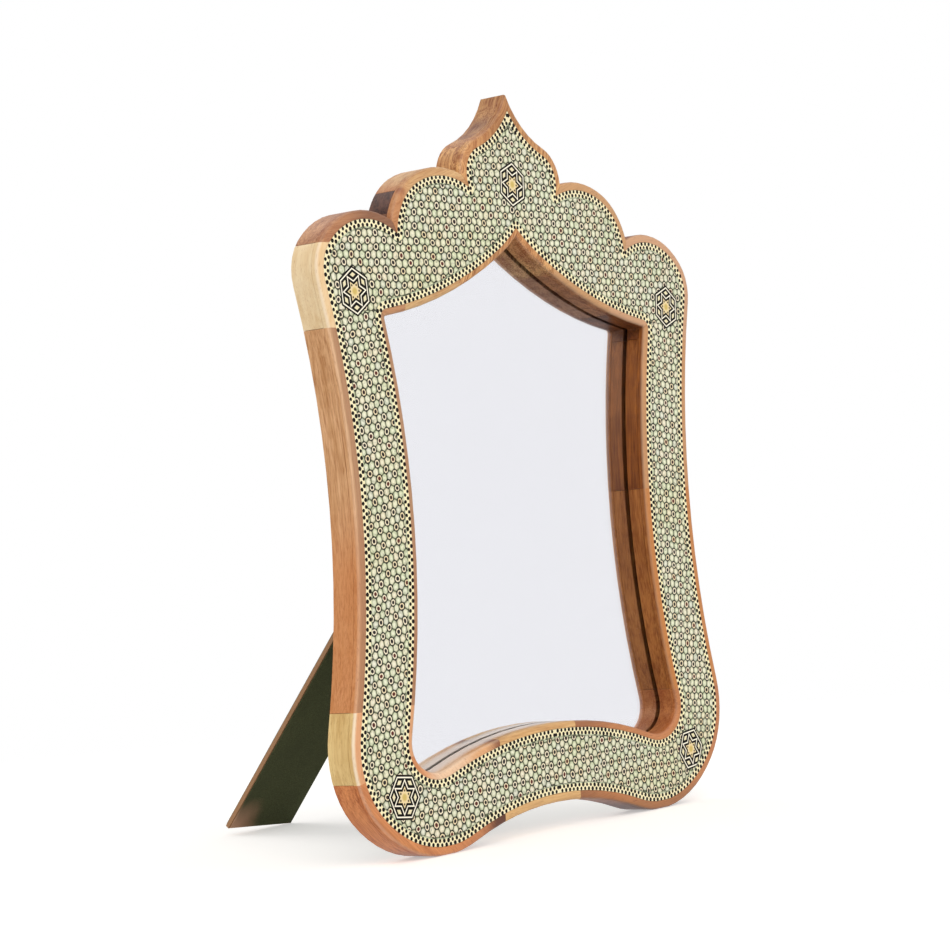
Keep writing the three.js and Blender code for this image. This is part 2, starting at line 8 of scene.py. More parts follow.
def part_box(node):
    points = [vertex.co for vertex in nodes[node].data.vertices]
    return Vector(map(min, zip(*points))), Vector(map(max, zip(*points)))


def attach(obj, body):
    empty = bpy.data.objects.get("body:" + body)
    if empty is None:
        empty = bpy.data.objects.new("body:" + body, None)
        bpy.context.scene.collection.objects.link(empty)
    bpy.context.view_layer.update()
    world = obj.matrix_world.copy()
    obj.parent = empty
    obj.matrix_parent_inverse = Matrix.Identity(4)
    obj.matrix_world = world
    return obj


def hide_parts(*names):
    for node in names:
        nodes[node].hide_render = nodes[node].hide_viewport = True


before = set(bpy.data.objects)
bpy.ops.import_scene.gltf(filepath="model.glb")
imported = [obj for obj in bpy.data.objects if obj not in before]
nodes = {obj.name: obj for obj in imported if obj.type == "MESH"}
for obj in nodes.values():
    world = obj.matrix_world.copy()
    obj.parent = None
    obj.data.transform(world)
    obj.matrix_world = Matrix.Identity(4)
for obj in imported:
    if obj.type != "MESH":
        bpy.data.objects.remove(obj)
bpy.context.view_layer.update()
mm = 0.001


# Shader arithmetic: a value on a socket, and the finish that its nodes belong to
class Value:
    def __init__(self, finish, socket):
        self.finish, self.socket = finish, socket

    def math(self, operation, *others):
        return self.finish.math(operation, self, *others)

    def __add__(self, other):
        return self.math("ADD", other)

    def __sub__(self, other):
        return self.math("SUBTRACT", other)

    def __rsub__(self, other):
        return self.finish.math("SUBTRACT", other, self)

    def __mul__(self, other):
        return self.math("MULTIPLY", other)

    def __truediv__(self, other):
        return self.math("DIVIDE", other)

    def __rtruediv__(self, other):
        return self.finish.math("DIVIDE", other, self)

    def __mod__(self, other):
        return self.math("FLOORED_MODULO", other)

    def __neg__(self):
        return self * -1.0

    def __abs__(self):
        return self.math("ABSOLUTE")

    __radd__ = __add__
    __rmul__ = __mul__


# Nodes of a material, or of the world
class Finish:
    def __init__(self, name, kind="materials"):
        self.owner = getattr(bpy.data, kind).new(name)
        self.owner.use_nodes = True
        self.tree = self.owner.node_tree
        self.tree.nodes.clear()

    # Any node: its type, its settings, then the values or links of its sockets
    def node(self, kind, settings=None, sockets=None, output=0):
        made = self.tree.nodes.new("ShaderNode" + kind)
        for key, value in (settings or {}).items():
            setattr(made, key, value)
        for key, value in (sockets or {}).items():
            if isinstance(value, Value):
                self.tree.links.new(value.socket, made.inputs[key])
            else:
                made.inputs[key].default_value = value
        return Value(self, made.outputs[output]) if len(made.outputs) else None

    def math(self, operation, *values):
        return self.node("Math", {"operation": operation}, dict(enumerate(values)))

    def larger(self, first, *others):
        for value in others:
            first = self.math("MAXIMUM", first, value)
        return first

    def smaller(self, first, *others):
        for value in others:
            first = self.math("MINIMUM", first, value)
        return first

    # 0 below low, 1 above high, smooth between
    def rise(self, value, low, high):
        sockets = {0: value, 1: low, 2: high, 3: 0.0, 4: 1.0}
        return self.node("MapRange", {"interpolation_type": "SMOOTHSTEP"}, sockets)

    def fall(self, value, low, high):
        return 1.0 - self.rise(value, low, high)

    def blend(self, factor, first, second, kind="MIX"):
        settings = {"data_type": "RGBA", "blend_type": kind}
        return self.node("Mix", settings, {0: factor, 6: first, 7: second}, 2)

    # Noise picks one of two paints, or a tone between them
    def mottle(self, factor, paints):
        return self.blend(factor, paint(paints[0]), paint(paints[1]))

    def vector(self, x=0.0, y=0.0, z=0.0):
        return self.node("CombineXYZ", None, {0: x, 1: y, 2: z})

    def noise(self, where, detail=2.0, roughness=0.5, scale=1.0):
        sockets = {"Vector": where, "Scale": scale, "Detail": detail, "Roughness": roughness}
        return self.node("TexNoise", None, sockets)

    # Noise of the same step along every axis
    def clouds(self, place, step, detail=2.0):
        return self.noise(self.vector(*[value * step for value in place]), detail)

    def ray(self, kind):
        return self.node("LightPath", None, None, "Is " + kind + " Ray")

    # Place on the piece in millimetres
    def place(self):
        spot = self.node("TexCoord", None, None, 3)
        scaled = self.node("VectorMath", {"operation": "SCALE"}, {0: spot, 3: 1000.0})
        return [self.node("SeparateXYZ", None, {0: scaled}, axis) for axis in range(3)]

    # Distance from a place in millimetres
    def away(self, place, x, y, z):
        gaps = [value - middle for value, middle in zip((x, y, z), place)]
        return (gaps[0] * gaps[0] + gaps[1] * gaps[1] + gaps[2] * gaps[2]).math("SQRT")

    # Principled surface, with a height that feeds its bump
    def surface(self, settings, height=None, depth=0.2, distance=0.04 * mm):
        sockets = dict(settings)
        if height is not None:
            bump = {"Height": height, "Strength": depth, "Distance": distance}
            sockets["Normal"] = self.node("Bump", None, bump)
        shader = self.node("BsdfPrincipled", None, sockets)
        self.node("OutputMaterial", None, {0: shader})
        return self.owner


# Linear colour from a written one
def paint(text):
    parts = [int(text[i : i + 2], 16) / 255 for i in (1, 3, 5)]
    return (*[c / 12.92 if c <= 0.04045 else ((c + 0.055) / 1.055) ** 2.4 for c in parts], 1.0)


white = (1, 1, 1, 1)

# Camera, fitted to the photograph
cameraView = {
    "place": (-0.8600, -0.71991, 0.11155),
    "right": (0.6127, -0.7866, -0.0761),
    "up": (0.0216, -0.0796, 0.9966),
    "lens": 100.1,
    "sensor": 36.0,
    "clip": (0.05, 50),
}


def addCamera():
    data = bpy.data.cameras.new("photoCamera")
    data.lens, data.sensor_width, data.sensor_fit = cameraView["lens"], cameraView["sensor"], "HORIZONTAL"
    data.clip_start, data.clip_end = cameraView["clip"]
    camera = bpy.data.objects.new("photoCamera", data)
    right = Vector(cameraView["right"]).normalized()
    up = Vector(cameraView["up"])
    up = (up - right * up.dot(right)).normalized()
    turn = Matrix((right, up, right.cross(up))).transposed().to_4x4()
    camera.matrix_world = Matrix.Translation(cameraView["place"]) @ turn
    bpy.context.scene.collection.objects.link(camera)
    bpy.context.scene.camera = camera


# Studio
studio = {
    "sky": "#f6f4f1",
    "skyLevel": 0.60,
    "mirrorSky": "#f9f5f9",
    "floorSize": 12,
    "floorTone": (0.8, 0.8, 0.8, 1),
    "floorGlow": 0.42,  # for the camera alone
    "floorFades": (0.34, 0.75),  # metres from the middle
    "lampsAim": (0, 0, 0.15),
    "lamps": {
        "keyLamp": {"place": (-1.6, -1.5, 1.5), "size": 1.6, "watts": 27, "colour": "#fff6ea"},
        "frontLamp": {"place": (0.6, -2.2, 0.9), "size": 1.6, "watts": 15, "colour": "#fffaf4"},
        "backLamp": {"place": (0.4, 2.0, 1.4), "size": 1.6, "watts": 15, "colour": "#fffaf4"},
    },
}


def addStudio():
    scene = bpy.context.scene
    scene.view_settings.view_transform = "Standard"
    air = Finish("studioAir", "worlds")
    scene.world = air.owner
    # light on the object, what gloss and glass show, what the camera sees
    lit = air.node("Background", None, {0: paint(studio["sky"]), 1: studio["skyLevel"]})
    mirrored = air.node("Background", None, {0: paint(studio["mirrorSky"]), 1: 1.0})
    clear = air.node("Background", None, {0: white, 1: 1.0})
    polished = air.larger(air.ray("Glossy"), air.ray("Transmission"))
    sky = air.node("MixShader", None, {0: polished, 1: lit, 2: mirrored})
    sky = air.node("MixShader", None, {0: air.ray("Camera"), 1: sky, 2: clear})
    air.node("OutputWorld", None, {0: sky})
    for name, lamp in studio["lamps"].items():
        data = bpy.data.lights.new(name, "AREA")
        data.size, data.energy, data.color = lamp["size"], lamp["watts"], paint(lamp["colour"])[:3]
        light = bpy.data.objects.new(name, data)
        light.location = lamp["place"]
        aim = Vector(studio["lampsAim"]) - light.location
        light.rotation_euler = aim.to_track_quat("-Z", "Y").to_euler()
        scene.collection.objects.link(light)
    addFloor()


def addFloor():
    bpy.ops.mesh.primitive_plane_add(size=studio["floorSize"], location=(0, 0, 0))
    floor = bpy.context.object
    floor.name = "studioFloor"
    finish = Finish("paleFloor")
    x, y, z = finish.place()
    body = finish.node("BsdfDiffuse", None, {0: studio["floorTone"]})
    lift = finish.node("Emission", None, {0: white, 1: finish.ray("Camera") * studio["floorGlow"]})
    body = finish.node("AddShader", None, {0: body, 1: lift})
    mirrored = finish.node("Emission", None, {0: paint(studio["mirrorSky"]), 1: 1.0})
    body = finish.node("MixShader", None, {0: finish.ray("Glossy"), 1: body, 2: mirrored})
    far = (x * x + y * y).math("SQRT") * mm
    gone = finish.node("BsdfTransparent", None, {0: white})
    body = finish.node("MixShader", None, {0: finish.rise(far, *studio["floorFades"]), 1: body, 2: gone})
    finish.node("OutputMaterial", None, {0: body})
    floor.data.materials.append(finish.owner)


# Woods of the glued blocks: pale and dark tones, lean of the grain from upright in degrees, fineness of
# the figure, strength of the streaks and seed of the noise. Then the tone of the front, how much of it
# shows and how deep it goes, the blush, the paleness of the painted arris highlight, fades along an axis (one
# a painted shade) and knots
woods = {
    "crest_block": {
        "pale": "#efbd80", "dark": "#93562e", "lean": 24, "figure": 1.6, "streak": 1.5, "seed": 68,
        "front": ("#d4a164", 0.15), "blush": ("#b8622f", 0.35),
        "fades": [
            {"axis": 2, "from": 272, "to": 288, "colour": "#9a683c", "amount": 0.45},
        ],
        "knots": [
            {"place": (-10, -76, 286), "reach": 8, "colour": "#6a4030"},
            {"place": (-17, -75, 281), "reach": 7, "colour": "#7c5340"},
            {"place": (-31, -82, 271), "reach": 3.5, "colour": "#8a4422"},
            {"place": (-36, -83, 263), "reach": 3, "colour": "#7c3a1e"},
        ],
    },
    "lobe_block_left": {
        "pale": "#e6c48e", "dark": "#b07c4e", "lean": 72, "figure": 1.1, "streak": 0.8, "seed": 16,
        "front": ("#c8935f", 0.2), "blush": ("#b0623a", 0.3),
        "fades": [
            {"axis": 0, "from": -64, "to": -73, "above": 238, "colour": "#b4683c", "amount": 0.6},
        ],
        "knots": [
            {"place": (-71.5, -83, 255), "reach": 3, "colour": "#7e2e12"},
        ],
    },
    "walnut_block_left": {
        "pale": "#674234", "dark": "#2f1a13", "lean": 68, "figure": 1.2, "streak": 1.0, "seed": 6,
        "front": ("#b87546", 0.6),
    },
    "shoulder_block_left": {
        "pale": "#d09c70", "dark": "#9a6442", "lean": 82, "figure": 1.2, "streak": 0.9, "seed": 63,
        "front": ("#ba845a", 0.15), "blush": ("#9c5a38", 0.4),
        "fades": [
            {"axis": 0, "from": -114, "to": -86, "above": 238, "colour": "#6a4331", "amount": 0.8},
        ],
    },
    "corner_block_left": {
        "pale": "#f9e3bb", "dark": "#dfbb84", "lean": 12, "figure": 0.6, "streak": 0.3, "seed": 16,
        "front": ("#e2bb8c", 0.4), "arris": 0.5,
    },
    "stile_block_left": {
        "pale": "#eaba8c", "dark": "#c6915e", "lean": -3, "figure": 0.8, "streak": 1.2, "seed": 15,
        "front": ("#a47a5b", 0.8), "blush": ("#c98550", 0.3), "arris": 0.15,
        "fades": [
            {"axis": 2, "from": 140, "to": 108, "colour": "#d0854a", "amount": 0.7},
        ],
    },
    "patch_block_left": {
        "pale": "#eed192", "dark": "#cfa968", "lean": 4, "figure": 0.9, "streak": 0.5, "seed": 23,
        "front": ("#dda076", 0.9), "arris": 0.7,
    },
    "foot_block_left": {
        "pale": "#e6985c", "dark": "#b56432", "lean": -48, "figure": 1.2, "streak": 0.9, "seed": 72,
        "front": ("#d09468", 0.4), "blush": ("#bb5e30", 0.25), "arris": 0.2,
        "fades": [
            {"axis": 0, "from": -90, "to": -76, "colour": "#f8dcbc", "amount": 0.8,
             "above": 21, "through": True},
            {"axis": 0, "from": -66, "to": -50, "colour": "#dca26a", "amount": 0.8, "above": 21},
            {"axis": 0, "from": -47, "to": -39, "colour": "#7a4026", "amount": 0.85,
             "above": 21, "through": True},
            {"axis": 0, "from": -66, "to": -48, "colour": "#8a4e30", "amount": 0.6, "below": 31},
            {"axis": 0, "from": -52, "to": -43, "colour": "#4a2416", "amount": 0.9,
             "below": 31, "through": True},
        ],
    },
    "rail_block": {
        "pale": "#e8be82", "dark": "#bd8a52", "lean": 90, "figure": 1.0, "streak": 0.8, "seed": 16,
        "front": ("#dcb27c", 0.3),
    },
    "foot_block_right": {
        "pale": "#c8834a", "dark": "#965428", "lean": 84, "figure": 1.1, "streak": 0.9, "seed": 27,
        "front": ("#c98a5a", 0.6), "blush": ("#b2592f", 0.4),
        "fades": [
            {"axis": 0, "from": 50, "to": 18, "colour": "#8a5a3c", "amount": 0.7,
             "below": 60, "through": True},
            # painted shade: darker towards the underside of the foot
            {"axis": 2, "from": 9, "to": 3, "colour": "#4a2c1c", "amount": 0.8},
        ],
    },
    "stile_block_right_lower": {
        "pale": "#b8753a", "dark": "#884c1d", "lean": 3, "figure": 1.1, "streak": 1.2, "seed": 19,
        "front": ("#ca874a", 0.8), "frontDepth": 1.6,
    },
    "stile_block_right_upper": {
        "pale": "#a76226", "dark": "#743c12", "lean": 5, "figure": 1.0, "streak": 1.1, "seed": 64,
        "front": ("#d2a070", 0.75), "frontDepth": 1.6,
    },
    "shoulder_block_right": {
        "pale": "#96592a", "dark": "#5c3216", "lean": 84, "figure": 1.3, "streak": 1.1, "seed": 50,
        "front": ("#dcae88", 0.8), "frontDepth": 1.8, "blush": ("#6e3218", 0.4),
    },
    "lobe_block_right": {
        "pale": "#c4885a", "dark": "#86522e", "lean": 66, "figure": 1.3, "streak": 1.1, "seed": 18,
        "front": ("#d4a878", 0.7), "frontDepth": 1.4,
    },
}


def under(level):  # region of the frame below a level
    return (0.0, 1.0, level)


def beside(x, side):  # region beyond an upright line
    return (side, 0.0, side * x)


def topOf(block):
    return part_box(block)[1].z / mm


# Plane of the marquetry, in metres
def frontLevel():
    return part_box("field_top_left")[0].y


# Each lip is cut from the blocks behind it: the first wood, then others by region
lipWoods = {
    "outer_lip_crest": ["crest_block"],
    "outer_lip_lobe_left": ["lobe_block_left"],
    "outer_lip_lobe_right": ["lobe_block_right"],
    "outer_lip_side_left": [
        "shoulder_block_left",
        ("corner_block_left", under(topOf("corner_block_left"))),
        ("stile_block_left", under(topOf("stile_block_left"))),
        ("patch_block_left", under(topOf("patch_block_left"))),
        ("foot_block_left", (-0.233, 1.0, 60.4)),
    ],
    "outer_lip_side_right": [
        "shoulder_block_right",
        ("stile_block_right_upper", under(topOf("stile_block_right_upper"))),
        ("stile_block_right_lower", under(topOf("stile_block_right_lower"))),
        ("foot_block_right", under(topOf("foot_block_right"))),
    ],
    "outer_lip_bottom": ["rail_block"],
    "inner_lip_arch_left": [
        "crest_block", ("lobe_block_left", beside(-40, 1.0)), ("shoulder_block_left", beside(-75, 1.0)),
    ],
    "inner_lip_arch_right": [
        "crest_block", ("lobe_block_right", beside(24, -1.0)), ("shoulder_block_right", beside(62, -1.0)),
    ],
    "inner_lip_side_left": [
        "stile_block_left",
        ("patch_block_left", under(topOf("patch_block_left"))),
        ("foot_block_left", (-0.233, 1.0, 60.4)),
    ],
    "inner_lip_side_right": [
        "stile_block_right_upper",
        ("stile_block_right_lower", under(topOf("stile_block_right_lower"))),
        ("foot_block_right", under(topOf("foot_block_right"))),
    ],
    "inner_lip_bottom": ["rail_block"],
}


# Layers of the grain, from coarse to fine: noise steps in a millimetre across, into and along the wood, the
# values between which a layer starts to show, and how much it shows
woodGrain = {
    "drift": {"steps": (0.04, 0.04, 0.012), "edges": (0.46, 0.68)},
    "bands": {"steps": (0.17, 0.17, 0.010), "edges": (0.32, 0.66), "amount": 0.62, "swing": 4.0},
    "rings": {"steps": (1.1, 0.7), "edges": (0.1, 0.95), "amount": 0.22, "swing": 26.0, "pace": 0.9},
    "fibres": {"steps": (1.5, 1.5, 0.06), "edges": (0.3, 0.72), "amount": 0.55, "middle": 0.35},
    "streaks": {"edges": (0.42, 0.72), "amount": 0.3},
    "pores": {"steps": (3.0, 3.0, 0.20), "edges": (0.60, 0.74), "amount": 0.4},
    "ripple": {"steps": (0.03, 0.05, 0.30), "amount": 0.35, "middle": 0.5},
}
# What the woods share: tones of streaks and pores, the front's depth, the painted highlight on the arris, the
# gloss and the edges of fades and knots, with depths and distances in millimetres
woodCare = {
    "streak": "#b8845f",
    "pore": "#7a4a2c",
    "frontDepth": 0.7,
    # painted highlight along the arris: its tone, how much it shows, where it starts and ends
    "arris": "#fff0dc",
    "arrisHighlightShows": 0.08,
    "arrisHighlightStarts": (0.05, 0.5),
    "arrisHighlightEnds": (0.9, 1.8),
    "roughness": 0.42,
    "fibreRoughness": 0.18,
    "specular": 0.32,
    "coat": 0.06,
    "coatRoughness": 0.16,
    "relief": (0.6, 0.8),  # height of the fibres, depth of the pores
    "bump": (0.35, 0.06 * mm),
    "fadeWander": (14.0, 3.0),  # shift of a fade's edge, by drift and by fibres
    "fadeSoft": 2.0,
    "knotBend": (2.2, 1.6),  # reach and strength of the bend round a knot, as shares of its reach
    "knotHeart": 0.2,
    "knotStain": 0.75,
}
# The thickly varnished foot inside the opening, whose colour carries a painted whitish sheen: where it starts
# and ends
varnishAndSheenLook = {
    "colour": "#f4e8e0",
    "amount": 0.75,
    "coat": 0.6,
    "bottom": (27.0, 33.0),
    "top": (47.0, 54.0),
    "middle": -30.0,
    "ends": (52.0, 66.0),
    "depth": (2.0, 6.5),
    "waver": 6.0,
}


def woodFinish(name, parts):
    wood = Finish(name + "_wood")
    x, y, z = wood.place()
    looks = [woods[part if isinstance(part, str) else part[0]] for part in parts]
    masks = [wood.math("LESS_THAN", x * nx + z * nz, limit) for _, (nx, nz, limit) in parts[1:]]

    def number(read):
        value = read(looks[0])
        for mask, look in zip(masks, looks[1:]):
            value = value + mask * (read(look) - value)
        return value

    def tone(read):
        value = paint(read(looks[0]))
        for mask, look in zip(masks, looks[1:]):
            value = wood.blend(mask, value, paint(read(look)))
        return value

    def share(index):  # 1 where one of the woods shows
        amount = masks[index - 1] if index else 1.0
        for mask in masks[index:]:
            amount = (1.0 - mask) * amount
        return amount

    # the grain runs along its lean, and bends round the knots
    sine = number(lambda look: math.sin(math.radians(look["lean"])))
    cosine = number(lambda look: math.cos(math.radians(look["lean"])))
    seed = number(lambda look: float(look["seed"]))
    figure = number(lambda look: look["figure"])
    streak = number(lambda look: look["streak"])
    along, across = x * sine + z * cosine, x * cosine - z * sine
    knots = [(knot, index) for index, look in enumerate(looks) for knot in look.get("knots", [])]
    bendReach, bend = woodCare["knotBend"]
    for knot, _ in knots:
        near = wood.fall(wood.away(knot["place"], x, y, z), 0.0, knot["reach"] * bendReach)
        across = across + near * near * knot["reach"] * bend
    grain = woodGrain

    def steps(layer):  # where a layer's noise is read
        return [place * step for place, step in zip((across, y, along), grain[layer]["steps"])]

    def shown(value, layer):
        return wood.rise(value, *grain[layer]["edges"])

    over, into, down = steps("drift")
    drift = wood.noise(wood.vector(over + seed, into, down))
    over, into, down = steps("bands")
    swept = over * figure + drift * grain["bands"]["swing"]
    bands = wood.noise(wood.vector(swept, into * figure, down + seed), 3.0, 0.6)
    over, into = steps("rings")
    rings = ((over + into + bands * grain["rings"]["swing"]) * figure * grain["rings"]["pace"]).math("SINE")
    over, into, down = steps("fibres")
    fibres = wood.noise(wood.vector(over, into + seed, down), 4.0, 0.7)
    over, into, down = steps("pores")
    pores = wood.noise(wood.vector(over + seed, into, down))
    over, into, down = steps("ripple")
    ripple = wood.noise(wood.vector(down + seed, into, over))
    shade = shown(bands, "bands") * grain["bands"]["amount"]
    shade = shade + shown(rings, "rings") * grain["rings"]["amount"]
    shade = shade + (shown(fibres, "fibres") - grain["fibres"]["middle"]) * grain["fibres"]["amount"] * streak
    shade = shade + (ripple - grain["ripple"]["middle"]) * grain["ripple"]["amount"]
    pale, dark = tone(lambda look: look["pale"]), tone(lambda look: look["dark"])
    colour = wood.blend(wood.smaller(wood.larger(shade, 0.0), 1.0), pale, dark)
    blush = tone(lambda look: look.get("blush", (look["dark"], 0))[0])
    blushing = number(lambda look: float(look.get("blush", ("", 0))[1]))
    colour = wood.blend(shown(drift, "drift") * blushing, colour, blush)
    (wander, fray), soft = woodCare["fadeWander"], woodCare["fadeSoft"]
    covered = 1.0  # less where a fade goes through the tone of the front
    for fade, index in [(fade, index) for index, look in enumerate(looks) for fade in look.get("fades", [])]:
        place = (x, y, z)[fade["axis"]] + (drift - 0.5) * wander + (fibres - 0.5) * fray
        amount = wood.rise(place, *sorted((fade["from"], fade["to"])))
        amount = amount if fade["to"] > fade["from"] else 1.0 - amount
        if "below" in fade:
            amount = amount * wood.fall(z, fade["below"] - soft, fade["below"] + soft)
        if "above" in fade:
            amount = amount * wood.rise(z, fade["above"] - soft, fade["above"] + soft)
        amount = amount * fade["amount"] * share(index)
        colour = wood.blend(amount, colour, paint(fade["colour"]))
        if fade.get("through"):
            covered = (1.0 - amount) * covered
    for knot, index in knots:
        far = wood.away(knot["place"], x, y, z) + (fibres - 0.5) * fray
        stain = wood.fall(far, woodCare["knotHeart"], knot["reach"]) * woodCare["knotStain"]
        colour = wood.blend(stain * share(index), colour, paint(knot["colour"]))
    streaks = shown(fibres, "streaks") * streak * grain["streaks"]["amount"]
    colour = wood.blend(streaks, colour, paint(woodCare["streak"]), "MULTIPLY")
    # the front of a lip is blended to a set tone, and its arris is painted paler as a highlight
    depth = y - frontLevel() / mm
    frontDepth = number(lambda look: look.get("frontDepth", woodCare["frontDepth"]))
    front = wood.fall(depth, 0.0, frontDepth) * number(lambda look: look["front"][1]) * covered
    colour = wood.blend(front, colour, tone(lambda look: look["front"][0]))
    # painted highlight: a pale line along the rounded arris of each lip
    wearAndHighlight = wood.rise(depth, *woodCare["arrisHighlightStarts"]) * wood.fall(depth, *woodCare["arrisHighlightEnds"])
    wearAndHighlight = wearAndHighlight * number(lambda look: look.get("arris", woodCare["arrisHighlightShows"]))
    colour = wood.blend(wearAndHighlight, colour, paint(woodCare["arris"]))
    marks, poreTone = shown(pores, "pores"), wood.blend(0.5, dark, paint(woodCare["pore"]))
    colour = wood.blend(marks * grain["pores"]["amount"], colour, poreTone, "MULTIPLY")
    # the thickly varnished foot of the opening: a real coat, with a painted whitish sheen blended into its
    # colour
    varnishAndSheen = wood.rise(z, *varnishAndSheenLook["bottom"]) * wood.fall(z, *varnishAndSheenLook["top"])
    varnishAndSheen = varnishAndSheen * wood.fall(abs(x - varnishAndSheenLook["middle"]), *varnishAndSheenLook["ends"])
    varnishAndSheen = varnishAndSheen * wood.rise(depth + (drift - 0.5) * varnishAndSheenLook["waver"], *varnishAndSheenLook["depth"])
    colour = wood.blend(varnishAndSheen * varnishAndSheenLook["amount"], colour, paint(varnishAndSheenLook["colour"]))
    settings = {
        "Base Color": colour,
        "Roughness": woodCare["roughness"] + fibres * woodCare["fibreRoughness"],
        "Specular IOR Level": woodCare["specular"],
        "Coat Weight": woodCare["coat"] + varnishAndSheen * varnishAndSheenLook["coat"],
        "Coat Roughness": woodCare["coatRoughness"],
    }
    raised, sunk = woodCare["relief"]
    return wood.surface(settings, fibres * raised - marks * sunk, *woodCare["bump"])


# Marquetry sheets: an eye's place, pitch of the eyes and lean of their rows
fieldLooks = {
    "field_top_left": {"eye": (-60.3, 233.1), "pitch": 5.7, "lean": -1.6},
    "field_top_right": {"eye": (41.1, 244.8), "pitch": 5.7, "lean": 0.0},
    "field_stile_left": {"eye": (-103.5, 146.4), "pitch": 5.5, "lean": -9.4},
    "field_stile_right": {"eye": (92.7, 159.3), "pitch": 5.6, "lean": 6.7},
    "field_bottom_left": {"eye": (9.9, 31.5), "pitch": 5.6, "lean": 90.0},
    "field_bottom_right": {"eye": (37.8, 23.4), "pitch": 5.6, "lean": 90.0},
}
inlayPaint = {
    "outline": "#2a2e1e",
    "joint": "#5c6747",
    "pupils": ("#150d09", "#5a1c0f"),
    "rings": ("#fcf2d8", "#f6e5bf"),
    "bones": ("#d3dcbc", "#e4e4ca"),
    "boneWarm": "#e4dcc2",
    "boneGrey": "#cdd2c8",
    "boneHeart": "#fbfbec",
    "age": "#f0ecc0",
}
# Edges within one unit of the marquetry, in shares of its width: where each starts and ends
inlayCell = {
    "pupil": (0.21, 0.29),
    "ring": (0.385, 0.435),
    "heart": (0.08, 0.36),
    "joint": (0.37, 0.52),
    "outline": (0.42, 0.49),
    "groove": (0.43, 0.49),
}


def fieldFinish(name, look):
    field = Finish(name + "_inlay")
    x, y, z = field.place()
    lean = math.radians(look["lean"])
    cell = look["pitch"] / math.sqrt(3)
    # the rows sway a little, as they were laid by hand
    sway = [field.noise(field.vector(x * 0.09 + k, 0.0, z * 0.09), 1.0) - 0.5 for k in (0.0, 7.3)]
    dx = x - look["eye"][0] + sway[0] * 2.2
    dz = z - look["eye"][1] + sway[1] * 2.2
    u = (dx * math.cos(lean) - dz * math.sin(lean)) / cell
    v = (dx * math.sin(lean) + dz * math.cos(lean)) / cell
    # nearer of two rectangular lattices gives the six-sided unit
    tall = math.sqrt(3)
    first = ((u + 0.5) % 1.0 - 0.5, (v + tall / 2) % tall - tall / 2)
    second = (u % 1.0 - 0.5, v % tall - tall / 2)
    nearer = field.math("LESS_THAN", first[0] * first[0] + first[1] * first[1],
                        second[0] * second[0] + second[1] * second[1])
    a = second[0] + nearer * (first[0] - second[0])
    b = second[1] + nearer * (first[1] - second[1])
    row = ((v - b) / (tall / 2)).math("ROUND")
    column = ((u - a) - row * 0.5).math("ROUND")
    # one unit in three is an eye, the others are bone
    kind = (column - row + 0.5) % 3.0
    isEye = field.math("LESS_THAN", kind, 1.0)
    isFirstBone = field.math("LESS_THAN", kind, 2.0) - isEye
    luck = field.node("TexWhiteNoise", {"noise_dimensions": "2D"}, {"Vector": field.vector(column, row)})
    luckSpot = field.node("TexWhiteNoise", {"noise_dimensions": "2D"},
                          {"Vector": field.vector(column + 0.5, row)}, 1)
    luckTwo = field.node("SeparateXYZ", None, {0: luckSpot}, 1)
    sides = (a, a * -0.5 + b * (tall / 2), a * -0.5 - b * (tall / 2))
    high, low = field.larger(*sides), -field.smaller(*sides)
    hexagon, star = field.larger(high, low), field.smaller(high, low)
    # eye: dark pupil, pale ring with six faint points, dark outline filling the corners
    far = (a * a + b * b).math("SQRT")
    ring = field.fall(far * 0.8 + star * 0.36, *inlayCell["ring"])
    pupil = field.fall(far, *inlayCell["pupil"])
    ringColour = field.mottle(field.rise(luck, 0.45, 1.0), inlayPaint["rings"])
    eye = field.blend(ring, paint(inlayPaint["outline"]), ringColour)
    pupilColour = field.mottle(field.rise(luckTwo, 0.70, 0.95), inlayPaint["pupils"])
    eye = field.blend(pupil, eye, pupilColour)
    # bone cell: three sides face eyes, three sides face other bone cells
    towardEye = high + isFirstBone * (low - high)
    towardBone = low + isFirstBone * (high - low)
    patchy = field.clouds((x, 0.0, z), 0.7, 3.0)
    bone = field.mottle(field.rise(luck, 0.25, 0.75), inlayPaint["bones"])
    layers = (
        (field.rise(luckTwo, 0.72, 0.98), "boneWarm"),
        (field.rise(luckTwo, 0.16, 0.04) * 0.7, "boneGrey"),
        (field.fall(far, *inlayCell["heart"]) * 0.6, "boneHeart"),
        (field.rise(patchy, 0.48, 0.74) * 0.5, "joint"),
        (field.rise(towardBone + far * 0.12, *inlayCell["joint"]) * 0.95, "joint"),
        (field.rise(towardEye + far * 0.08, *inlayCell["outline"]), "outline"),
    )
    for amount, tone in layers:
        bone = field.blend(amount, bone, paint(inlayPaint[tone]))
    colour = field.blend(isEye, bone, eye)
    # long slow change of tone over the sheet
    age = field.clouds((x, 0.0, z), 0.02)
    colour = field.blend(field.rise(age, 0.4, 0.7) * 0.3, colour, paint(inlayPaint["age"]), "MULTIPLY")
    groove = 1.0 - field.rise(hexagon, *inlayCell["groove"]) * 0.6
    settings = {"Base Color": colour, "Roughness": 0.40 + luck * 0.12, "Specular IOR Level": 0.25}
    settings["Coat Weight"] = 0.03
    return field.surface(settings, groove + luck * 0.5, 0.3, 0.05 * mm)


# Star medallions: centre and direction of one corner, as on the wood
medallionLooks = {
    "medallion_crest": (-0.3, 262.1, 85.6),
    "medallion_upper_left": (-104.4, 215.1, 95.2),
    "medallion_upper_right": (105.4, 215.1, 83.5),
    "medallion_lower_left": (-97.5, 24.7, 53.5),
    "medallion_lower_right": (97.8, 22.7, 66.0),
}
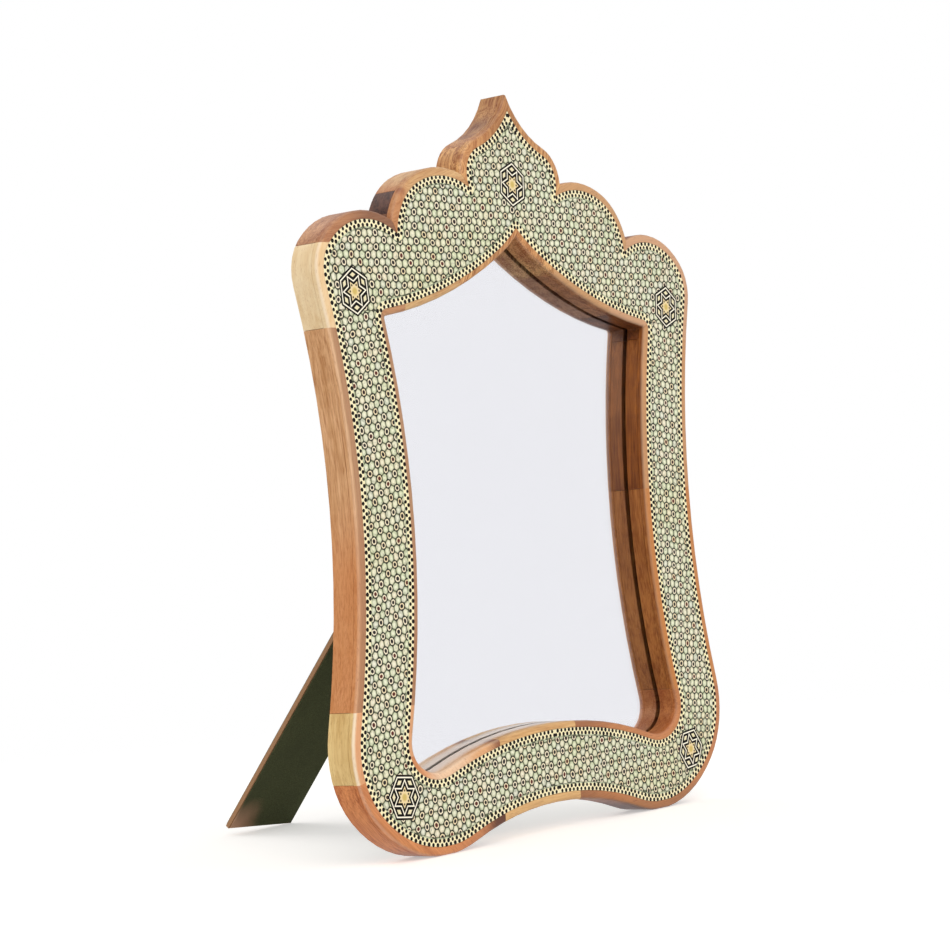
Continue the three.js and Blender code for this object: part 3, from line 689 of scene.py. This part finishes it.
# Distances from the centre, in millimetres
medallionRings = {
    "whiteBand": (7.15, 7.68),
    "rhombEdge": 6.2,
    "rhombStart": 4.6,
    "starEnds": (7.1, 7.3),
    "starBand": (3.0, 3.5),
    "innerStar": 2.08,
    "armMark": 2.6,
    "markSize": (0.3, 0.6),
    "gold": (0.7, 2.0),
    "soft": 0.07,
}
medallionPaint = {
    "dark": ("#050302", "#100b07"),
    "bands": "#fffbea",
    "rhombs": ("#e2d8a2", "#fbf5dc"),
    "heart": ("#d6bd70", "#efdcae"),
    "marks": "#2a1a0e",
}


def medallionFinish(name, look):
    medal = Finish(name + "_inlay")
    x, y, z = medal.place()
    turn = math.radians(look[2] + 30)
    dx, dz = x - look[0], z - look[1]
    turns = [turn + k * math.tau / 3 for k in range(3)]
    sides = [dx * math.cos(angle) + dz * math.sin(angle) for angle in turns]
    high, low = medal.larger(*sides), -medal.smaller(*sides)
    hexagon, star = medal.larger(high, low), medal.smaller(high, low)
    ring, tones = medallionRings, medallionPaint
    soft = ring["soft"]

    def beyond(value, edge):
        return medal.rise(value, edge - soft, edge + soft)

    def within(value, inner, outer):
        return beyond(value, inner) * (1.0 - beyond(value, outer))

    outerBand = within(hexagon, *ring["whiteBand"])
    starBand = within(star, *ring["starBand"]) * medal.fall(hexagon, *ring["starEnds"])
    rhomb = beyond(star, ring["rhombStart"]) * (1.0 - beyond(hexagon, ring["rhombEdge"]))
    grain = medal.clouds((x, 0.0, z), 0.9, 3.0)
    far = (dx * dx + dz * dz).math("SQRT")
    colour = medal.mottle(grain, tones["dark"])
    colour = medal.blend(medal.larger(outerBand, starBand), colour, paint(tones["bands"]))
    colour = medal.blend(rhomb, colour, medal.mottle(grain, tones["rhombs"]))
    # six-armed heart: gold in the middle, a dark mark at the root of each arm
    heart = medal.mottle(medal.rise(far, *ring["gold"]), tones["heart"])
    toMark = (far * far + ring["armMark"] ** 2 - hexagon * (2 * ring["armMark"])).math("SQRT")
    heart = medal.blend(medal.fall(toMark, *ring["markSize"]) * 0.95, heart, paint(tones["marks"]))
    colour = medal.blend(1.0 - beyond(star, ring["innerStar"]), colour, heart)
    settings = {"Base Color": colour, "Roughness": 0.42 + grain * 0.1, "Specular IOR Level": 0.08}
    return medal.surface(settings, grain)


# Bone strip of the border, whose edge towards the field is mottled dark and pale like the field's cut cells,
# and its dots
borderPaint = {
    "bone": ("#f8edb6", "#fff8da"),
    "cut": ("#4c543c", "#d3dcbc"),
    "cutFrom": (2.7, 2.95),  # distance from the wood
    "dots": ("#060403", "#150e08"),
}


def boneStripFinish():
    strip = Finish("border_bone")
    x, y, z = strip.place()
    across = strip.node("Attribute", {"attribute_name": "across"}, None, 2)
    tone = strip.clouds((x, 0.0, z), 0.5, 3.0)
    cells = strip.clouds((x, 0.0, z), 0.45, 1.0)
    cut = strip.mottle(strip.rise(cells, 0.38, 0.58), borderPaint["cut"])
    edge = strip.rise(across, *borderPaint["cutFrom"])
    colour = strip.blend(edge, strip.mottle(tone, borderPaint["bone"]), cut)
    settings = {"Base Color": colour, "Roughness": 0.40 + tone * 0.1, "Specular IOR Level": 0.25}
    return strip.surface(settings, tone)


def darkDotFinish():
    dot = Finish("border_dark_wood")
    x, y, z = dot.place()
    tone = dot.clouds((x, 0.0, z), 1.2, 3.0)
    colour = dot.mottle(tone, borderPaint["dots"])
    settings = {"Base Color": colour, "Roughness": 0.45 + tone * 0.1, "Specular IOR Level": 0.12}
    return dot.surface(settings, tone)


# Felt, and the place on the leg where it is worn down to the board
feltLook = {
    "fluff": ("#42472e", "#626847"),
    "wearAndHighlight": "#474b34",
    "worn": "#cfa388",
    "wornPlace": (-21, 80, 0),
    "wornReach": 21,
}


def feltFinish(name, isWorn=False):
    felt = Finish(name)
    x, y, z = felt.place()
    fluff = felt.noise(felt.vector(x, y, z), 5.0, 0.7, 1.6)
    wearAndHighlight = felt.clouds((x, y, z), 0.04, 3.0)
    colour = felt.mottle(felt.rise(fluff, 0.25, 0.75), feltLook["fluff"])
    colour = felt.blend(felt.rise(wearAndHighlight, 0.4, 0.7) * 0.4, colour, paint(feltLook["wearAndHighlight"]))
    if isWorn:
        cloud = felt.noise(felt.vector(x, y, z), scale=0.08) - 0.5
        far = felt.away(feltLook["wornPlace"], x, y, z) + cloud * 9.0
        patch = felt.fall(far, feltLook["wornReach"] * 0.25, feltLook["wornReach"])
        colour = felt.blend(patch * 0.9, colour, paint(feltLook["worn"]))
    settings = {"Base Color": colour, "Roughness": 0.95, "Specular IOR Level": 0.2}
    return felt.surface(settings, fluff, 0.5, 0.25 * mm)


# Tones of the board, the brass and the silvering; the glass is clear
boardPaint = ("#8c6242", "#c79b72")
brassPaint = ("#c9a24e", "#8d6a34")
silverTones = ((0.93, 0.94, 0.96, 1), (0.95, 0.96, 0.975, 1))
glassLook = {"Base Color": (0.97, 0.985, 0.98, 1), "Roughness": 0.0, "IOR": 1.52, "Transmission Weight": 1.0}


def boardFinish():
    board = Finish("pressed_board")
    x, y, z = board.place()
    speck = board.noise(board.vector(x, y, z), 5.0, 0.7, 1.4)
    settings = {"Base Color": board.mottle(speck, boardPaint), "Roughness": 0.75}
    return board.surface(settings, speck, 0.4, 0.15 * mm)


def brassFinish():
    brass = Finish("hinge_brass")
    x, y, z = brass.place()
    brush = brass.noise(brass.vector(x * 0.15, y * 2.5, z * 2.5), 3.0)
    stain = brass.clouds((x, y, z), 0.2, 3.0)
    colour = brass.mottle(brass.rise(stain, 0.45, 0.75) * 0.6, brassPaint)
    settings = {"Base Color": colour, "Metallic": 1.0, "Roughness": 0.24 + brush * 0.22}
    return brass.surface(settings, brush)


def glassFinish():
    return Finish("clear_glass").surface(glassLook)


def silverFinish():
    silver = Finish("silvering")
    x, y, z = silver.place()
    haze = silver.clouds((x, 0.0, z), 0.01)
    settings = {"Base Color": silver.blend(haze, *silverTones), "Metallic": 1.0, "Roughness": 0.01}
    return silver.surface(settings)


# Outlines of the inlay and of the opening, right half: start, heading and turns (radius, sweep) of each run
outerRuns = [
    {"start": (0, 292.2), "heading": -55, "turns": [(45, 35.6), (12.2, -88)]},
    {"start": (31.7, 260.1), "heading": 21, "turns": [(38, -47.3), (25.9, -66)]},
    {"start": (78.1, 239.0), "heading": 28.5,
     "turns": [(32.2, -75.6), (15.2, -57.8), (333.4, 29.1), (33.3, -58), (52.8, -64.3)]},
]
openingRuns = [
    {"start": (0, 244.5), "heading": -41.7,
     "turns": [(81.2, 11.8), (210.8, 21.3), (3.8, -94.8), (321, 28.4), (13.4, -72.4), (21.6, -50.5)]},
]


# Arcs of one run; the last run of an outline gets a turn that ends level on the centre line
def arcsOf(run, isLast):
    (x, z), heading = run["start"], math.radians(run["heading"])
    turns = [(radius, math.radians(sweep)) for radius, sweep in run["turns"]]
    if isLast:
        turns.append((None, -math.pi - heading - sum(turn[1] for turn in turns)))
    arcs = []
    for radius, sweep in turns:
        radius = radius or abs(x / math.sin(sweep))
        side = math.copysign(radius, sweep)
        centre = (x - math.sin(heading) * side, z + math.cos(heading) * side)
        begin = math.atan2(z - centre[1], x - centre[0])
        arcs.append({"centre": centre, "radius": radius, "begin": begin, "sweep": sweep})
        x, z = centre[0] + radius * math.cos(begin + sweep), centre[1] + radius * math.sin(begin + sweep)
        heading += sweep
    return arcs


def shortTurn(angle):
    return angle - math.tau * round(angle / math.tau)


# Where the circles of two arcs cross, on the side of a given point
def crossing(first, second, near):
    a, b = Vector(first["centre"]), Vector(second["centre"])
    span = (b - a).length
    reach = (first["radius"] ** 2 - second["radius"] ** 2 + span ** 2) / (2 * span)
    along = (b - a) / span
    rise = Vector((-along.y, along.x)) * math.sqrt(first["radius"] ** 2 - reach ** 2)
    spots = [a + along * reach + rise, a + along * reach - rise]
    return min(spots, key=lambda spot: (spot - Vector(near)).length)


# One half of an outline: runs cut off where they cross, with an arc of no radius round each valley foot
def halfArcs(runs):
    arcs = []
    for run in runs:
        following = arcsOf(run, run is runs[-1])
        if arcs:
            last, first = arcs[-1], following[0]
            foot = crossing(last, first, run["start"])
            seen = [math.atan2(foot.y - arc["centre"][1], foot.x - arc["centre"][0]) for arc in (last, first)]
            last["sweep"] = shortTurn(seen[0] - last["begin"])
            turned = shortTurn(seen[1] - first["begin"])
            first["begin"] += turned
            first["sweep"] -= turned
            arcs.append({"centre": tuple(foot), "radius": 0.0, "begin": seen[0] + math.pi,
                         "sweep": shortTurn(seen[1] - seen[0])})
        arcs += following
    return arcs


# Radius of an arc moved outwards by an offset
def reachOf(arc, offset):
    return arc["radius"] - offset * math.copysign(1, arc["sweep"])


# Points along an arc for a row of dots: the first dot stands a share of the pitch behind the arc's start
def rowPoints(arc, offset, count, shift, step=0.5):
    reach = reachOf(arc, offset)
    (x, z), begin, sweep = arc["centre"], arc["begin"], arc["sweep"]
    while x + reach * math.cos(begin) < 0:  # an arc starts no farther left than the centre line
        begin, sweep = begin + sweep * 0.01, sweep * 0.99
    begin, sweep = begin + sweep * shift / count, sweep * (count - 1) / count
    pieces = max(1, int(abs(sweep) * reach / step))
    angles = [begin + sweep * k / pieces for k in range(pieces + 1)]
    return [(x + reach * math.cos(angle), z + reach * math.sin(angle)) for angle in angles]


addCamera()
addStudio()
print("stage: camera and studio")


# Copy of a node with its facets joined and shaded smooth, while its arrises stay sharp
def joinedCopy(name, material, smoothBelow=50):
    copy = bpy.data.objects.new(name + "_polished", nodes[name].data.copy())
    bpy.context.scene.collection.objects.link(copy)
    work = bmesh.new()
    work.from_mesh(copy.data)
    bmesh.ops.remove_doubles(work, verts=work.verts, dist=1e-6)
    for face in work.faces:
        face.smooth = True
    for edge in work.edges:
        edge.smooth = edge.is_manifold and edge.calc_face_angle(0) < math.radians(smoothBelow)
    work.to_mesh(copy.data)
    work.free()
    if copy.data.has_custom_normals:
        bpy.context.view_layer.objects.active = copy
        bpy.ops.mesh.customdata_custom_splitnormals_clear()
    copy.data.materials.clear()
    copy.data.materials.append(material)
    return copy


# A finished piece takes the place of its node
def seat(piece, name, body):
    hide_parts(name)
    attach(piece, body)


# A node that keeps its own mesh
def dress(name, material):
    data = nodes[name].data
    data.materials.clear()
    data.materials.append(material)


for name in woods:
    seat(joinedCopy(name, woodFinish(name, [name])), name, "frame")
for name, parts in lipWoods.items():
    seat(joinedCopy(name, woodFinish(name, parts)), name, "frame")
print("stage: woods")

for name, look in fieldLooks.items():
    dress(name, fieldFinish(name, look))
for name, look in medallionLooks.items():
    dress(name, medallionFinish(name, look))
print("stage: marquetry")


# Node tree for a shape, with named inputs after its geometry, and what adds nodes to it
class ShapeTree:
    def __init__(self, name, inputs):
        self.tree = bpy.data.node_groups.new(name, "GeometryNodeTree")
        face = self.tree.interface
        for label, kind in {"Geometry": "Geometry", **inputs}.items():
            face.new_socket(label, in_out="INPUT", socket_type="NodeSocket" + kind)
        face.new_socket("Geometry", in_out="OUTPUT", socket_type="NodeSocketGeometry")
        self.asked = self.add("NodeGroupInput")

    # Any node: its type, the values or links of its sockets, then its settings; gives its outputs
    def add(self, kind, sockets=None, settings=None):
        made = self.tree.nodes.new(kind)
        for key, value in (settings or {}).items():
            setattr(made, key, value)
        for key, value in (sockets or {}).items():
            if isinstance(value, bpy.types.NodeSocket):
                self.tree.links.new(value, made.inputs[key])
            else:
                made.inputs[key].default_value = value
        return made.outputs

    def finish(self, shape, material):
        real = self.add("GeometryNodeRealizeInstances", {"Geometry": shape})
        coat = self.add("GeometryNodeSetMaterial", {"Geometry": real[0], "Material": material})
        self.add("NodeGroupOutput", {"Geometry": coat[0]})
        return self.tree


# The tree's result on an object, with values for its inputs, as a plain mesh in place of the object
def shaped(source, tree, values, name):
    modifier = source.modifiers.new(tree.name, "NODES")
    modifier.node_group = tree
    asked = {item.name: item.identifier for item in tree.interface.items_tree if item.in_out == "INPUT"}
    for label, value in values.items():
        modifier[asked[label]] = value
    graph = bpy.context.evaluated_depsgraph_get()
    mesh = bpy.data.meshes.new_from_object(source.evaluated_get(graph))
    bpy.data.objects.remove(source)
    piece = bpy.data.objects.new(name, mesh)
    bpy.context.scene.collection.objects.link(piece)
    return piece


# Dots of the border strips: two rows, one dot of each row by turns
dotLook = {
    "spacing": 2.6,
    "middle": 1.45,  # of the two rows, from the wood
    "rowOffset": 0.78,
    "radius": 0.84,
    "sides": 8,
    "thickness": 0.16,
    "proud": 0.02,
    "scales": (0.86, 1.08),
    "seed": 3,
}


def dotTree(material):
    shape = ShapeTree("borderDots", {"Dot radius": "Float", "Thickness": "Float", "Seed": "Int"})
    add, asked = shape.add, shape.asked
    lines = add("GeometryNodeMeshToCurve", {"Mesh": asked["Geometry"]})
    # as many points on each arc as its attribute says
    dots = add("GeometryNodeInputNamedAttribute", {"Name": "dots"}, {"data_type": "INT"})
    points = add("GeometryNodeResampleCurve", {"Curve": lines["Curve"], "Count": dots["Attribute"]},
                 {"mode": "COUNT"})
    # many-sided peg, lying with its axis to the front
    peg = add("GeometryNodeMeshCylinder", {"Vertices": dotLook["sides"], "Radius": asked["Dot radius"],
                                           "Depth": asked["Thickness"]}, {"fill_type": "NGON"})
    lying = add("GeometryNodeTransform", {"Geometry": peg["Mesh"], "Rotation": (math.pi / 2, 0, 0)})
    tangent = add("GeometryNodeInputTangent")
    align = add("FunctionNodeAlignRotationToVector", {"Vector": tangent["Tangent"]},
                {"axis": "X", "pivot_axis": "Y"})
    low, high = dotLook["scales"]
    scales = add("FunctionNodeRandomValue", {2: low, 3: high, "Seed": asked["Seed"]}, {"data_type": "FLOAT"})
    pegs = add("GeometryNodeInstanceOnPoints", {"Points": points["Curve"], "Instance": lying["Geometry"],
                                                "Rotation": align["Rotation"], "Scale": scales[1]})
    return shape.finish(pegs["Instances"], material)


def addBorderDots():
    apex = {"centre": (0, openingRuns[0]["start"][1]), "radius": 0.0, "begin": math.pi / 2,
            "sweep": math.radians(openingRuns[0]["heading"])}
    verts, edges, counts = [], [], []
    level = frontLevel() + (dotLook["thickness"] / 2 - dotLook["proud"]) * mm
    for arcs, side in ((halfArcs(outerRuns), -1), ([apex] + halfArcs(openingRuns), 1)):
        for arc in arcs:
            length = abs(arc["sweep"]) * reachOf(arc, side * dotLook["middle"])
            count = max(1, round(length / dotLook["spacing"]))
            for row, shift in ((-1, 0.25), (1, 0.75)):
                if arc is apex and row < 0:
                    continue
                offset = side * (dotLook["middle"] + row * dotLook["rowOffset"])
                line = rowPoints(arc, offset, count, shift)
                for mirrored in (1, -1):  # right half, then left half
                    base = len(verts)
                    verts += [(mirrored * px * mm, level, pz * mm) for px, pz in line]
                    edges += [(base + i, base + i + 1) for i in range(len(line) - 1)]
                    counts += [count] * len(line)
    mesh = bpy.data.meshes.new("borderLines")
    mesh.from_pydata(verts, edges, [])
    mesh.attributes.new("dots", "INT", "POINT").data.foreach_set("value", counts)
    guide = bpy.data.objects.new("borderLines", mesh)
    bpy.context.scene.collection.objects.link(guide)
    values = {"Dot radius": dotLook["radius"] * mm, "Thickness": dotLook["thickness"] * mm,
              "Seed": dotLook["seed"]}
    dots = shaped(guide, dotTree(darkDotFinish()), values, "border_dots")
    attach(dots, "frame")


# Short edges everywhere, so that a value at the corners follows the bends
def divide(mesh, longest, passes=5):
    work = bmesh.new()
    work.from_mesh(mesh)
    for _ in range(passes):
        long = [edge for edge in work.edges if edge.calc_length() > longest]
        bmesh.ops.subdivide_edges(work, edges=long, cuts=1)
        bmesh.ops.triangulate(work, faces=work.faces)
    work.to_mesh(mesh)
    work.free()


# Border strips, each corner marked with its distance from the wood
def addBorderStrips(material, longestEdge=2.5):
    outlines = halfArcs(outerRuns) + halfArcs(openingRuns)
    rims = [point for arc in outlines if arc["radius"] > 0 for point in rowPoints(arc, 0.0, 1000, 0.5, 0.25)]
    tree = kdtree.KDTree(2 * len(rims))
    for index, (px, pz) in enumerate(rims):
        tree.insert((px, 0, pz), 2 * index)
        tree.insert((-px, 0, pz), 2 * index + 1)
    tree.balance()
    for name in nodes:
        if name.startswith("border_"):
            strip = joinedCopy(name, material)
            divide(strip.data, longestEdge * mm)
            gaps = [tree.find((corner.co.x / mm, 0, corner.co.z / mm))[2] for corner in strip.data.vertices]
            strip.data.attributes.new("across", "FLOAT", "POINT").data.foreach_set("value", gaps)
            seat(strip, name, "frame")


addBorderStrips(boneStripFinish())
addBorderDots()
print("stage: border strips and dots")

# Mirror: a clear pane and the silvered sheet close behind it
mirrorLook = {"paneThickness": 1.6, "gap": 0.02}


def addMirror():
    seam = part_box("mirror_glass")[0].y + mirrorLook["paneThickness"] * mm
    pane = joinedCopy("mirror_glass", glassFinish())
    for corner in pane.data.vertices:
        corner.co.y = min(corner.co.y, seam)
    silver = joinedCopy("mirror_glass", silverFinish())
    silver.name = "silvering"
    for corner in silver.data.vertices:
        corner.co.y = max(corner.co.y, seam + mirrorLook["gap"] * mm)
    for piece in (pane, silver):
        seat(piece, "mirror_glass", "frame")


addMirror()
board = boardFinish()
backFelt = feltFinish("back_felt_cloth")
legFelt = feltFinish("leg_felt_cloth", isWorn=True)
for name, material in (("backing_board", board), ("leg_board", board), ("back_felt", backFelt),
                       ("leg_felt_front", legFelt), ("leg_felt_back", backFelt)):
    dress(name, material)
print("stage: glass and felt")


# Hinge screws: a slot across the outer end of each head, in millimetres; then, in degrees, how far the
# head's axis leans over from pointing backwards, and the turn of the slot
slotLook = {"width": 0.6, "length": 6.0, "depth": 0.7}
screws = {
    "frame_leaf_screw_left": {"body": "frame", "lean": 0, "turn": 20},
    "frame_leaf_screw_right": {"body": "frame", "lean": 0, "turn": -65},
    "leg_leaf_screw_left": {"body": "leg", "lean": 220.5, "turn": 80},
    "leg_leaf_screw_right": {"body": "leg", "lean": 220.5, "turn": -35},
}


def slotTree(material):
    shape = ShapeTree("screwSlot", {"Place": "Vector", "Lean": "Float", "Turn": "Float", "Size": "Vector"})
    add, asked = shape.add, shape.asked
    bar = add("GeometryNodeMeshCube", {"Size": asked["Size"]})
    turn = add("ShaderNodeCombineXYZ", {"Y": asked["Turn"]})
    turned = add("GeometryNodeTransform", {"Geometry": bar["Mesh"], "Rotation": turn[0]})
    lean = add("ShaderNodeCombineXYZ", {"X": asked["Lean"]})
    leant = add("GeometryNodeTransform", {"Geometry": turned[0], "Rotation": lean[0],
                                          "Translation": asked["Place"]})
    slotted = add("GeometryNodeMeshBoolean", {0: asked["Geometry"], 1: leant[0]}, {"operation": "DIFFERENCE"})
    return shape.finish(slotted[0], material)


def addScrews(material):
    tree = slotTree(material)
    for name, screw in screws.items():
        lean = math.radians(screw["lean"])
        axis = Vector((0, math.cos(lean), math.sin(lean)))
        blank = joinedCopy(name, material)
        corners = [corner.co for corner in blank.data.vertices]
        middle = sum(corners, Vector()) / len(corners)
        place = middle + axis * (max(corner.dot(axis) for corner in corners) - middle.dot(axis))
        values = {"Place": place, "Lean": lean, "Turn": math.radians(screw["turn"]),
                  "Size": Vector((slotLook["length"], slotLook["depth"], slotLook["width"])) * mm}
        seat(shaped(blank, tree, values, name + "_slotted"), name, screw["body"])


brass = brassFinish()
addScrews(brass)
for name in ("hinge_leaf_frame", "hinge_leaf_leg", "hinge_pin"):
    dress(name, brass)
print("stage: hinge")
